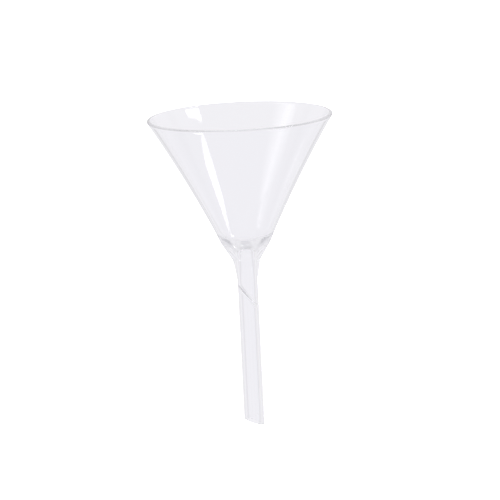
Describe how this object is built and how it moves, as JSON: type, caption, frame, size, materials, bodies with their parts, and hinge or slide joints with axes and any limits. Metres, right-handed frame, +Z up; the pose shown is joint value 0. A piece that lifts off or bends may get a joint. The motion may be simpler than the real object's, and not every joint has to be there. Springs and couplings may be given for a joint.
{
  "type": "glass funnel",
  "caption": "Clear glass laboratory funnel: a slightly flared cone with a rounded rim, a thick foot, a tapered neck, and a round stem that ends in a bevelled drip tip.",
  "frame": {"origin": "on the axis, level with the shoulder where the bowl's cone ends, which is the lowest place where a ring or flask neck can carry it", "axes": "+Z up along the axis, out of the bowl's mouth; +X towards the side on which the bevelled tip is longest"},
  "size_m": [0.075, 0.075, 0.1277],
  "materials": {
    "rim_glass": "clear, fire polished",
    "bowl_glass": "clear, smooth",
    "foot_glass": "clear, thick, worked in the flame",
    "neck_glass": "clear, worked in the flame",
    "seal_glass": "clear, fused seam",
    "stem_glass": "clear, drawn"
  },
  "bodies": {
    "root": {"rim_bead": "rim_glass", "bowl": "bowl_glass", "bowl_foot": "foot_glass", "neck": "neck_glass", "stem_seal": "seal_glass", "stem": "stem_glass"}
  },
  "joints": []
}
